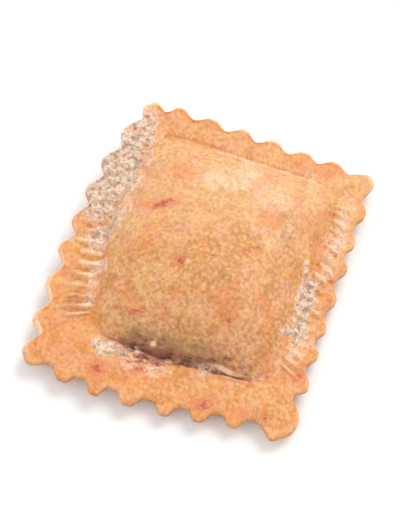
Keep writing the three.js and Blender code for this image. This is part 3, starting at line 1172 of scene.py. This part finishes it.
class RavioloShape(bpy.types.PropertyGroup):
    """Sizes of the dough."""

    width: metres("Width", "Short side, between the tips of its teeth", 0.0502)
    length: metres("Length", "Long side, between the tips of its teeth", 0.058)
    tooth_depth: metres("Tooth depth", "From a tooth's tip to its valley", 0.0026)
    tooth_unevenness: fraction("Tooth unevenness", "How much of a tooth may be missing", 0.40)
    pocket_width: metres("Pocket width", "Across the pocket's foot", 0.0394)
    pocket_length: metres("Pocket length", "Along the pocket's foot", 0.0432)
    pocket_centre: bpy.props.FloatVectorProperty(
        name="Pocket centre",
        description="The pocket's middle, from the middle of the outline",
        default=(-0.0011, 0.0012),
        size=2,
        unit="LENGTH",
    )
    pocket_taper: metres("Pocket taper", "How far its front left corner is drawn in", 0.0048)
    crown_rise: metres("Crown rise", "Top of the crown above the seal", 0.0096)
    seal_height: metres("Seal height", "Middle of the seal above the floor", 0.0041)
    belly_flat: fraction("Belly flat", "Share of the pocket that lies flat", 0.46)
    foot_softness: fraction("Foot softness", "Share of the pocket where its foot is soft", 0.06)
    rib_relief: metres("Rib relief", "Crest of a rib above the seal", 0.00060)
    rib_length: metres("Rib length", "Most that a rib reaches out over the seal", 0.0047)
    rib_narrowness: setting("Rib narrowness", "1 for waves, more for narrow ribs", 2.0, min=1)
    ripple: metres("Ripple", "How far the rim ripples up and down", 0.0003)
    bead: metres("Bead", "Bead along the cut edge", 0.00036)
    curl: metres("Curl", "How far teeth curl up or down", 0.00040)
    edge_bulge: metres("Edge bulge", "How far the cut edge bulges", 0.00010)
    crease: metres("Crease", "Depth of the crease at the front", 0.00040)
    overhang: metres("Overhang", "How far the crown hangs over the crease", 0.0004)
    wrinkles: metres("Wrinkles", "Height of the wrinkles by the crease", 0.00030)
    streaks: metres("Streaks", "Height of the streaks in the crease", 0.00018)
    lumps: metres("Lumps", "Height of the filling's lumps", 0.00030)
    dent: metres("Dent", "Depth of the shallow dent across the crown", 0.00030)
    pit: metres("Pit", "Depth of the small pit on the crown", 0.00085)
    knob: metres("Knob", "Height of the knob beside the pit", 0.00055)
    grain: metres("Grain", "Height of the dough's grain", 0.00004)
    flour_relief: metres("Flour relief", "Height of caked flour", 0.00022)


class RavioloLooks(bpy.types.PropertyGroup):
    """Colours and finishes."""

    seal: rgb("Seal", "Bare dough", (0.735, 0.282, 0.078))
    seal_back: rgb("Seal back", "Bare dough at the back", (0.78, 0.39, 0.150))
    crown: rgb("Crown", "Dough over the filling", (0.62, 0.280, 0.086))
    # Painted highlight: the crown's colour towards the back
    crown_back: rgb("Crown back", "Dough over the filling, at the back", (0.74, 0.425, 0.200))
    # Painted shade: the crown's colour towards the front
    crown_front_shade: rgb("Moist", "Dough over the filling, at the front", (0.58, 0.275, 0.100))
    pale_grain: rgb("Pale grain", "Pale grains in the dough", (0.84, 0.51, 0.21))
    pink_grain: rgb("Pink grain", "Pinkish grains in the dough", (0.78, 0.36, 0.20))
    # Dark grains in the dough, and the colour of the painted shade on the cut edge
    dark_grain_and_shade: rgb("Dark grain", "Dark grains in the dough", (0.40, 0.17, 0.055))
    pool: rgb("Pools", "Patches where the dough is deeper orange", (0.78, 0.26, 0.075))
    graininess: fraction("Graininess", "How strongly the grains show", 0.50)
    # Painted shade: above the crease, in the grooves between ribs and on the front right flank
    shade: rgb("Shade", "Dough just above the crease", (0.32, 0.165, 0.072))
    # Crease and pale crease are the colours of the painted shade in the crease
    crease: rgb("Crease", "Moist dough in the crease", (0.150, 0.056, 0.036))
    crease_pale: rgb("Pale crease", "Drier dough in the crease", (0.40, 0.160, 0.115))
    stain: rgb("Stain", "Dough stained by the red flakes", (0.69, 0.165, 0.080))
    # Cream is flour on the ribs, bead and folds, and painted highlight there and on the knob
    cream: rgb("Cream", "Ribs and folds that the flour has brushed", (0.90, 0.62, 0.40))
    flour: rgb("Flour", "Flour on the dough", (0.92, 0.745, 0.60))
    # Dough between crumbs of flour, with painted shade
    flour_gap_shade: rgb("Flour gap", "Gaps between the crumbs of flour", (0.38, 0.245, 0.175))
    loose_flour: rgb("Loose flour", "Dry grains of flour", (0.80, 0.61, 0.48))
    flour_shade: rgb("Flour shade", "Flour that has taken up moisture", (0.80, 0.50, 0.27))
    flake: rgb("Flake", "Thick part of a flake", (0.55, 0.100, 0.048))
    flake_edge: rgb("Flake edge", "Thin part of a flake", (0.72, 0.27, 0.125))
    floor: rgb("Floor", "The floor under the raviolo", (0.97, 0.97, 0.97))
    roughness: fraction("Roughness", "Roughness of bare dough", 0.58)
    translucency: fraction("Translucency", "How much light the dough lets through", 0.12)


class RavioloFlakes(bpy.types.PropertyGroup):
    """The red flakes."""

    small_count: whole("Small flakes", "Flakes besides the large ones", 26)
    small_size: metres("Small size", "Length of the largest small flake", 0.0007)
    thickness: metres("Thickness", "Thickness of a flake", 0.00028)
    sunk: fraction("Sunk", "Share of its thickness that a flake lies under", 0.05)
    seed: whole("Seed", "Another scatter", 8)


class RavioloFlour(bpy.types.PropertyGroup):
    """The loose flour."""

    count: whole("Grains", "Grains and clots of flour", 3200)
    size: metres("Grain size", "Radius of a common grain", 0.00009)
    seed: whole("Seed", "Another scatter", 4)


class RavioloStage(bpy.types.PropertyGroup):
    """Floor, lights and camera."""

    floor_size: metres("Floor size", "Side of the floor", 6.0)
    camera_around: degrees("Camera round", "How far to the right the camera stands", 17.7)
    camera_up: degrees("Camera up", "How steeply the camera looks down", 64.0)
    camera_distance: metres("Camera distance", "From the raviolo's middle", 0.45)
    camera_lens: setting("Lens", "Focal length", 162.0, unit="CAMERA")
    key_power: setting("Key", "Power of the main light", 5.15, unit="POWER")
    fill_power: setting("Fill", "Power of the light opposite", 2.4, unit="POWER")
    sky: setting("Sky", "Strength of the light from all round", 0.74, min=0)


# ---- Operators


class AddDough(bpy.types.Operator):
    """Adds the raviolo's dough, which stands for the CAD solid"""

    bl_idname = "raviolo.add_dough"
    bl_label = "Add dough"

    def execute(self, context):
        scene = context.scene
        piece = make_dough(scene.raviolo_shape, scene.raviolo_looks)
        settle(piece)
        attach(piece, BODY)
        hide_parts(NODE)
        return {"FINISHED"}


def settle(piece):
    """Moves the dough so that it stands on the floor where the CAD solid stands."""
    points = points_of(piece)
    middle = (points.min(axis=0) + points.max(axis=0)) / 2
    low, high = (np.array(corner) for corner in CAD_BOX)
    points[:, :2] += ((low + high) / 2 - middle)[:2]
    points[:, 2] += low[2] - points[:, 2].min()
    set_points(piece, points)


def dough_piece():
    piece = bpy.data.objects.get(DOUGH_PIECE)
    if piece is None:
        raise RuntimeError("add the dough first")
    return piece


class AddFlakes(bpy.types.Operator):
    """Adds the red flakes in the dough"""

    bl_idname = "raviolo.add_flakes"
    bl_label = "Add red flakes"

    def execute(self, context):
        scene = context.scene
        surface = Surface(dough_piece())
        piece = make_flakes(scene.raviolo_flakes, scene.raviolo_looks, surface)
        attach(piece, BODY)
        return {"FINISHED"}


class AddFlour(bpy.types.Operator):
    """Adds the loose flour on the dough"""

    bl_idname = "raviolo.add_flour"
    bl_label = "Add flour"

    def execute(self, context):
        scene = context.scene
        dough = dough_piece()
        thickness = painted_on(dough, "flour")
        piece = make_flour(scene.raviolo_flour, scene.raviolo_looks, Surface(dough), thickness)
        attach(piece, BODY)
        return {"FINISHED"}


class SetStage(bpy.types.Operator):
    """Sets the floor, the lights and the camera"""

    bl_idname = "raviolo.set_stage"
    bl_label = "Set stage"

    def execute(self, context):
        scene = context.scene
        stage = scene.raviolo_stage
        low, high = (Vector(corner) for corner in CAD_BOX)
        middle = (low + high) / 2
        make_floor(scene.raviolo_looks, stage.floor_size)
        make_lamp("key", stage.key_power, middle)
        make_lamp("fill", stage.fill_power, middle)
        scene.world = bpy.data.worlds.new("Studio")
        scene.world.use_nodes = True
        sky = scene.world.node_tree.nodes["Background"].inputs
        sky["Color"].default_value = (1, 1, 1, 1)
        sky["Strength"].default_value = stage.sky
        scene.view_settings.view_transform = "Standard"
        make_camera(stage, middle)
        return {"FINISHED"}


class RavioloPanel(bpy.types.Panel):
    """Lists the operators and their settings"""

    bl_idname = "VIEW3D_PT_raviolo"
    bl_label = "Raviolo"
    bl_space_type = "VIEW_3D"
    bl_region_type = "UI"
    bl_category = "Raviolo"

    def draw(self, context):
        for name, (settings, operator) in GROUPS.items():
            box = self.layout.box()
            if operator:
                box.operator(operator.bl_idname)
            for setting_name in settings.__annotations__:
                box.prop(getattr(context.scene, name), setting_name)


# Each group of settings by its name in the scene, with the operator it is listed under
GROUPS = {
    "raviolo_shape": (RavioloShape, AddDough),
    "raviolo_flakes": (RavioloFlakes, AddFlakes),
    "raviolo_flour": (RavioloFlour, AddFlour),
    "raviolo_stage": (RavioloStage, SetStage),
    "raviolo_looks": (RavioloLooks, None),
}
CLASSES = (*[made for group in GROUPS.values() for made in group if made], RavioloPanel)


def register():
    for made in CLASSES:
        bpy.utils.register_class(made)
    for name, (settings, _) in GROUPS.items():
        setattr(bpy.types.Scene, name, bpy.props.PointerProperty(type=settings))


def unregister():
    for name in GROUPS:
        delattr(bpy.types.Scene, name)
    for made in reversed(CLASSES):
        bpy.utils.unregister_class(made)


def main():
    register()
    bpy.ops.raviolo.add_dough()
    bpy.ops.raviolo.add_flakes()
    bpy.ops.raviolo.add_flour()
    bpy.ops.raviolo.set_stage()


if __name__ == "__main__":
    main()
